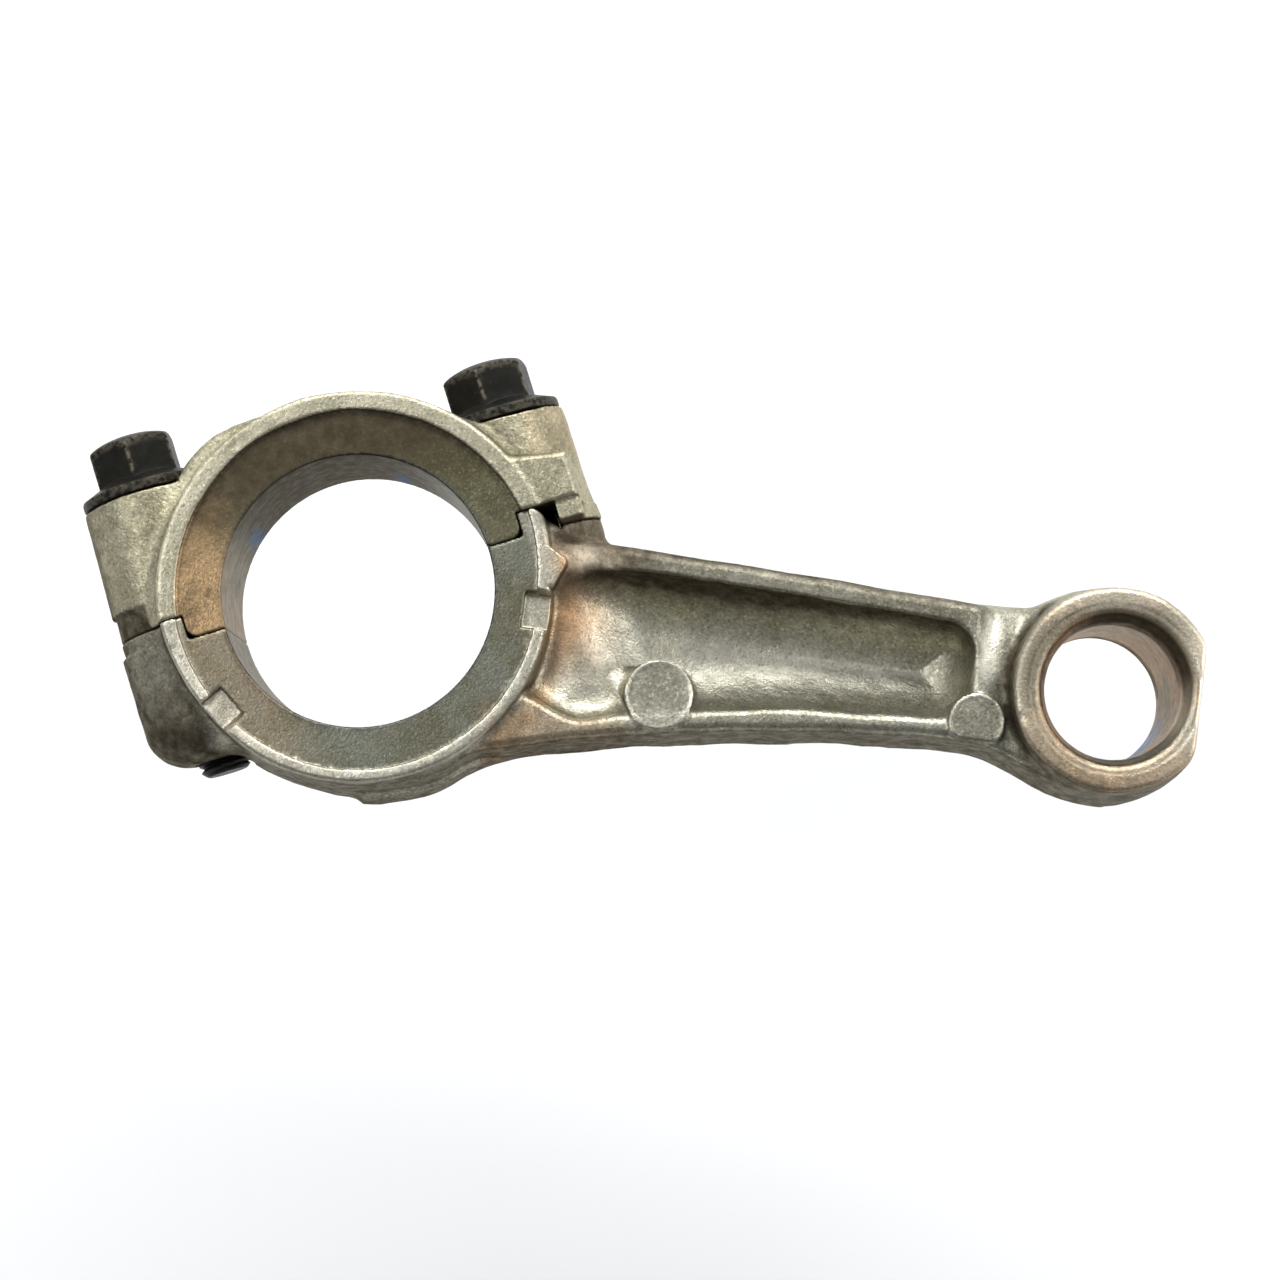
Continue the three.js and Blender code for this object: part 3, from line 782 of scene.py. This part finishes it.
def uneven(distance, masks):
    """The distance with waves, dents and the parting line's trimmed flash on its unmachined faces."""
    def surface(x, y, z):
        machined, _ = masks(x, y, z)
        from_split = np.abs(cap_region(*split_frame(x, y), 0.4))
        flash = FLASH_HEIGHT * np.exp(-(z / FLASH_WIDTH) ** 2) * smooth(0.5, 1.0, from_split)
        flash = flash * smooth(-0.6, 0.8, wave_long(x, y, z))
        waves = LONG_WAVE * wave_long(x, y, z) + SHORT_WAVE * wave_short(x, y, z)
        for nick_x, nick_y, nick_z, size in NICKS:
            reach = ((x - nick_x)**2 + (y - nick_y)**2 + (z - nick_z)**2) / size**2
            waves = waves - NICK_DEPTH * np.exp(-reach)
        return distance(x, y, z) - (waves * smooth(0.1, 0.5, from_split) + flash) * (1 - machined)
    return surface


def paint_casting(obj, points, normals, distance, masks, tinting):
    """Paints the attributes that the casting's material reads."""
    machined, bore = masks(*points.T)
    # Painted shade: how shut in each point is, so hollows and corners darken as ambient occlusion would.
    near = hollowness(distance, points, normals, 1.2)
    far = hollowness(distance, points, normals, 5.0)
    edges = smooth(0.25, 0.8, sharpness(distance, points, normals, 0.45))
    warm, shade_and_stain, clean_and_lit, painted_highlight, blue_reflection = tinting(*points.T)
    # Painted shade: side walls turned down, away from the light above, are darkened.
    flank_shade = smooth(0.75, 0.25, np.abs(normals[:, 2])) * (1 - machined) * smooth(0.3, -0.7, normals[:, 1])
    # The stain tints are mostly painted shade on walls, creases and gaps in shadow.
    shade_and_grime = 0.5 * near**1.5 + 0.25 * far**1.5 + 0.85 * flank_shade + shade_and_stain
    paint(obj, "machined", machined)
    paint(obj, "bore", bore)
    # Painted light: the shade is lifted where the tints mark a face as lit.
    paint(obj, "shade_and_grime", shade_and_grime * (1 - clean_and_lit))
    # Rubbed edges, plus the painted highlights and glints from the tints.
    paint(obj, "wear_and_highlight", 0.13 * edges + painted_highlight * (0.35 + edges))
    paint(obj, "warm", warm)
    paint(obj, "blue_reflection", blue_reflection)


def tints(warm=0, shade_and_stain=0, clean_and_lit=0, painted_highlight=0, blue_reflection=0):
    """How warm-toned each point is, how stained and darkened by painted shade, how far that shade is lifted
    where it is clean and lit, its painted highlight and its painted blue reflection.
    """
    return warm, shade_and_stain, clean_and_lit, painted_highlight, blue_reflection


def crank_end_tints(x, y, z):
    """The rod's tints round the crankpin bore and on its bolt bosses."""
    u, s = split_frame(x, y)
    a, r = np.abs(z), np.hypot(x, y)
    outside_ring = smooth(22.5, 23.5, r)
    ring_side = blob(r - 24.2, 1.3) * smooth(-20, -14, y) * smooth(10, 6, y) * smooth(15, 18, x)
    thrust = smooth(22.2, 21.6, r) * smooth(-8, -14, u) * smooth(15.8, 16, r)
    # Painted highlight: the bead's top.
    bead = smooth(20.6, 21.0, r) * smooth(23.6, 23.0, r) * smooth(10.2, 10.8, a)
    notch = smooth(0.3, 0.05, oil_notches(x, y, a)) * smooth(0.2, 0.05, np.abs(a - NOTCH_FLOOR))
    left_boss = smooth(-20, -23, u) * outside_ring
    # Painted shadow: the gap beside the tongue.
    slot_shade = smooth(22.2, 22.6, u) * smooth(25.3, 24.9, u) * smooth(0.85, 1.0, s)
    # Painted highlight: the lit shoulder above the upper rail.
    shoulder = blob(x - 25.6, 2.2) * blob(y - 7.7, 1.2) * smooth(6, 7, a) * outside_ring
    # Painted light: highlights on the bead, the notch floors and the shoulder, with the shade there lifted;
    # painted shadow in the gap beside the tongue.
    return tints(
        warm=0.5 * ring_side + 0.15 * thrust,
        shade_and_stain=0.5 * left_boss * (1 + smooth(-1, -9, s)) + slot_shade,
        clean_and_lit=notch + 0.8 * shoulder,
        painted_highlight=0.75 * bead + 0.8 * notch + 0.7 * shoulder)


def beam_tints(x, y, z):
    """The rod's tints on its beam, pockets, pads and neck."""
    a = np.abs(z)
    on_face, on_pads = smooth(8, 9, a), smooth(10.1, 10.3, a)
    below_top = pocket_top(x) - y
    hump = blob(x - 25.5, 3.5) * blob(y + 0.5, 4.5)
    collar = smooth(19, 22, x) * smooth(34, 27, x) * smooth(4, 8, y)
    lower_rail = smooth(15, 18, x) * smooth(38, 30, x) * smooth(-10.5, -12, y)
    # Painted shade: the upper rail and the beam's outer edge, against the light catching their rounding.
    upper_rail = smooth(0.6, -0.3, below_top) * on_face * smooth(24, 28, x) * smooth(73, 70, x)
    outer_edge = smooth(1.6, 0.6, beam_top(x) + 0.3 - y) * smooth(27, 33, x) * smooth(82, 76, x)
    outer_edge = outer_edge * smooth(7, 9, a)
    # Painted shade: the pocket's upper wall, which faces down, away from the light.
    upper_wall_shade = smooth(4.5, 0.5, below_top) * smooth(10, 9, a) * smooth(66, 48, x) * smooth(20, 24, x)
    # Painted light: the pocket floor is lit, with its shade lifted and lightened.
    floor = smooth(1, 4, y - pocket_bottom(x)) * smooth(3, 8, below_top) * smooth(7, 6, a)
    floor = floor * smooth(73, 69, x)
    # Painted highlight: the sloping land between the pocket's end and the small end; painted shade in the dip
    # beside the boss.
    neck = smooth(72.4, 73.4, x) * smooth(75.4, 74.3, x) * smooth(-2, 1, y) * smooth(8, 6.5, y) * on_face
    neck_shade = smooth(74.8, 76.2, x) * smooth(81, 78, x) * smooth(-3, 0, y) * on_face
    pad = np.hypot(x - PAD_X, y - PAD_Y) - PAD_RADIUS
    small_pad = np.hypot(x - SMALL_PAD_X, y - SMALL_PAD_Y) - SMALL_PAD_RADIUS
    # Painted highlight: bright rims round the pads.
    burr = (blob(pad + 0.15, 0.2) + blob(small_pad + 0.15, 0.2)) * on_pads
    small_pad_top = smooth(0, -0.3, small_pad) * on_pads
    # The hump's orange is partly a painted warm reflection.
    return tints(
        warm=0.8 * hump + 0.3 * collar + 0.3 * lower_rail,
        shade_and_stain=(0.7 * upper_wall_shade + 0.08 * collar + 0.25 * outer_edge + 0.32 * lower_rail
               + (0.45 + 0.3 * smooth(40, 30, x)) * upper_rail + 0.4 * neck_shade + 0.15 * small_pad_top),
        clean_and_lit=0.6 * floor,
        painted_highlight=0.7 * burr + 2.9 * neck + 0.72 * floor)


def small_end_tints(x, y, z):
    """The rod's tints round the wrist-pin bore; angle 0 points away from the crank end."""
    a = np.abs(z)
    wrist = np.hypot(x - CENTRE_DISTANCE, y)
    angle = np.arctan2(y, x - CENTRE_DISTANCE)
    on_face = smooth(12.5, 13, a)
    outside_mouth = smooth(9.4, 9.8, wrist) * on_face
    wall = smooth(SMALL_BORE + 0.15, SMALL_BORE + 0.05, wrist)
    far_rim = smooth(97.3, 98.2, x) * (0.3 + 0.7 * smooth(8.5, 12, a))
    near_mouth = blob(wrist - 8.5, 0.6) * smooth(88, 83, x)
    face = smooth(12.6, 12.2, wrist) * smooth(12.5, 13.2, a)
    far_face = blob(angle, 0.7) * smooth(9.6, 10.4, wrist) * on_face
    # Painted shade: the ring's lower face, darkened and warmed.
    lower_face = blob(angle + 1.7, 0.6) * smooth(9.0, 9.6, wrist) * on_face
    # Painted shade: the crease between the ring and the neck.
    groove = blob(wrist - 12.4, 0.5) * smooth(82, 79, x)
    mouth_shade = smooth(9.6, 9.0, wrist) * smooth(7, 8.5, a)
    mouth_shade = mouth_shade * smooth(0.1, 0.4, angle) * smooth(2.4, 1.8, angle)
    turned_line = blob(wrist - TURNED_LINE, 0.12) * smooth(13, 13.2, a)
    # Painted highlight: the turned face, and the lights and glints below.
    turned = smooth(8.8, 9.0, wrist) * smooth(10.2, 10.0, wrist) * on_face
    top_light = blob(angle - 1.7, 0.5) * outside_mouth
    far_light = blob(angle - 0.1, 0.7) * outside_mouth
    mouth_glint = smooth(9.4, 8.8, wrist) * blob(angle + 0.25, 0.35) * smooth(8.5, 10.5, a)
    ring_glint = blob(wrist - 11.4, 0.7) * (blob(angle - 0.5, 0.5) + blob(np.abs(angle) - 3.0, 0.4)) * on_face
    return tints(
        warm=0.8 * far_rim + 0.45 * wall + 0.6 * near_mouth + 0.3 * face + 0.6 * far_face + 0.15 * lower_face,
        shade_and_stain=0.75 * groove + 0.8 * mouth_shade + 0.4 * turned_line + 0.32 * lower_face,
        painted_highlight=0.8 * top_light + 0.4 * turned + 1.8 * mouth_glint + 0.8 * ring_glint + 2.0 * far_light,
        blue_reflection=wall * blob(angle + 0.65, 0.4) * smooth(2, -3, z))


def rod_tints(x, y, z):
    """The rod's tints, added up over its regions."""
    regions = crank_end_tints(x, y, z), beam_tints(x, y, z), small_end_tints(x, y, z)
    return [sum(amounts) for amounts in zip(*regions)]


def cap_tints(x, y, z):
    """The cap's tints."""
    u, s = split_frame(x, y)
    a, r = np.abs(z), np.hypot(x, y)
    angle = np.arctan2(y, x)
    wall = smooth(16.2, 16.0, r)
    thrust = smooth(21.5, 21, r) * smooth(15.8, 16, r)
    rim = smooth(21.0, 21.4, r) * smooth(24, 23.5, r) * smooth(10.6, 11.2, a)
    left_boss = smooth(-19, -22, u) * smooth(22.5, 23.5, r)
    right_boss = smooth(23, 25, u) * smooth(8, 10, s)
    # Painted shade: under the collar, in the slot under the pad and along the creases by the pad and the rim.
    collar = smooth(-24.2, -24.8, u) * smooth(6.6, 6.2, s)
    slot_shade = smooth(20.0, 20.2, u) * smooth(25.1, 24.9, u) * smooth(3.5, 3.35, s)
    slot_shade = slot_shade * np.maximum(smooth(22.9, 22.6, u), smooth(9.0, 8.0, a))
    crease_shade = blob(s - 10.1 + 0.2 * (u - 20.6), 0.5) * smooth(18.5, 20, u) * smooth(28, 26, u)
    crease_shade = crease_shade + blob(r - 25.0, 0.5) * smooth(12, 15, u) * smooth(9, 11, s)
    # Painted reflection: thin blue streaks on the bore's wall.
    left_reflection = blob(angle - 2.75, 0.07) * smooth(2, -4, z)
    top_reflection = blob(angle - 1.45, 0.05) * smooth(-1, -5, z)
    # Painted light: the thrust face and the bore's wall darken towards the top as painted shade; the rim is
    # lightened, partly as painted highlight; the left of the thrust face is warmed, partly as painted
    # reflection.
    return tints(
        warm=0.9 * thrust * smooth(-9, -17, u) + 0.3 * right_boss,
        shade_and_stain=(0.7 * crease_shade + 0.85 * collar + 0.95 * thrust * smooth(6, 17, s)
               + 0.4 * wall * smooth(8, 14, s) + slot_shade + 0.2 * left_boss),
        clean_and_lit=0.7 * rim,
        painted_highlight=0.35 * rim,
        blue_reflection=0.45 * wall * (left_reflection + top_reflection))


def casting(name, box, distance, masks, tinting):
    """A painted casting, made inside the box of the CAD node that it replaces."""
    low, high = (np.array(corner) / MM - crank_centre / MM for corner in box)
    obj, points, normals = cast_mesh(
        name, distance, uneven(distance, masks), low - BOX_MARGIN, high + BOX_MARGIN)
    paint_casting(obj, points, normals, distance, masks, tinting)
    return obj


BOX_MARGIN = 3 * VOXEL
rod = casting("rod_casting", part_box("rod_body"), rod_distance, rod_masks, rod_tints)
cap = casting("cap_casting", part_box("rod_cap"), cap_distance, cap_masks, cap_tints)
rod.data.materials.append(casting_material(
    "rod_aluminium", cast=rgb(0.44, 0.43, 0.35), cast_shade=rgb(0.30, 0.29, 0.22),
    machined=rgb(0.19, 0.195, 0.155), machined_stain=rgb(0.15, 0.145, 0.10), warm=rgb(0.80, 0.44, 0.20)))
cap.data.materials.append(casting_material(
    "cap_aluminium", cast=rgb(0.50, 0.465, 0.33), cast_shade=rgb(0.33, 0.305, 0.20),
    machined=rgb(0.14, 0.13, 0.08), machined_stain=rgb(0.09, 0.083, 0.045), warm=rgb(0.60, 0.385, 0.20)))

black = bolt_material()
SEAT_GAP = 0.3
for name, node, side, seat, hex_turn in (
        ("flange_bolt_left", "left_bolt", -1, SEAT_LEFT, 0.0),
        ("flange_bolt_right", "right_bolt", 1, SEAT_RIGHT, math.radians(-9))):
    bolt = bolt_piece(name, side, seat + SEAT_GAP, hex_turn)
    bolt.data.materials.append(black)
    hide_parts(node)
    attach(bolt, node)

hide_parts("rod_body")
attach(rod, "rod")
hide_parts("rod_cap")
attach(cap, "cap")

# ------------------------------------------------------------------ floor, light, camera
scene = bpy.context.scene
scene.view_settings.view_transform = "Standard"

FLOOR_DROP = 60 * MM
FLOOR_SIZE = 8.0
floor_mesh = bpy.data.meshes.new("floor")
corners = [(-1, -1), (1, -1), (1, 1), (-1, 1)]
floor_mesh.from_pydata(
    [(x * FLOOR_SIZE / 2, y * FLOOR_SIZE / 2, -FLOOR_DROP) for x, y in corners], [], [(0, 1, 2, 3)])
floor = bpy.data.objects.new("floor", floor_mesh)
scene.collection.objects.link(floor)
paper = Nodes("paper")
paper.shader.inputs["Base Color"].default_value = rgb(0.93, 0.93, 0.93)
paper.shader.inputs["Roughness"].default_value = 0.9
floor_mesh.materials.append(paper.material)

world = bpy.data.worlds.new("studio")
world.use_nodes = True
sky = world.node_tree
direction = sky.nodes.new("ShaderNodeTexCoord")
split_xyz = sky.nodes.new("ShaderNodeSeparateXYZ")
rise = sky.nodes.new("ShaderNodeMapRange")
sky.links.new(direction.outputs["Generated"], split_xyz.inputs[0])
sky.links.new(split_xyz.outputs["Y"], rise.inputs["Value"])
for socket, value in {"From Min": -0.9, "From Max": 0.9, "To Min": 0.12, "To Max": 0.95}.items():
    rise.inputs[socket].default_value = value
background = sky.nodes["Background"]
background.inputs["Color"].default_value = rgb(0.95, 0.97, 1.0)
sky.links.new(rise.outputs["Result"], background.inputs["Strength"])
scene.world = world


def softbox(name, place, width, height, power):
    """A rectangular light aimed at the frame's origin."""
    data = bpy.data.lights.new(name, "AREA")
    data.shape = "RECTANGLE"
    data.size, data.size_y = width, height
    data.energy = power
    light = bpy.data.objects.new(name, data)
    light.location = place
    light.rotation_mode = "QUATERNION"
    light.rotation_quaternion = (-Vector(place)).to_track_quat("-Z", "Y")
    scene.collection.objects.link(light)


softbox("key", (-0.05, 0.75, 0.5), 1.0, 0.35, 8)
softbox("left", (-0.6, 0.05, 0.8), 0.3, 0.6, 2.5)
softbox("right", (0.8, 0.1, 0.4), 0.3, 0.6, 2.5)

# The camera's place is in the rod frame; its turn is an angle about an axis, as one vector.
CAMERA_PLACE = np.array([39.14, -35.82, 407.64])
CAMERA_TURN = Vector((-0.0874, 0.0090, 0.1328))
SENSOR_WIDTH, LENS = 36, 96.61
view = Matrix.Rotation(CAMERA_TURN.length, 3, CAMERA_TURN) @ Matrix.Diagonal((1, -1, -1))
right, down, forward = view
camera_data = bpy.data.cameras.new("camera")
camera_data.sensor_fit = "HORIZONTAL"
camera_data.sensor_width = SENSOR_WIDTH
camera_data.lens = LENS
camera_data.clip_start, camera_data.clip_end = 0.01, 10
camera = bpy.data.objects.new("camera", camera_data)
scene.collection.objects.link(camera)
camera.matrix_world = Matrix.Translation(Vector(to_frame(CAMERA_PLACE))) @ Matrix(
    (right, -down, -forward)).transposed().to_4x4()
scene.camera = camera
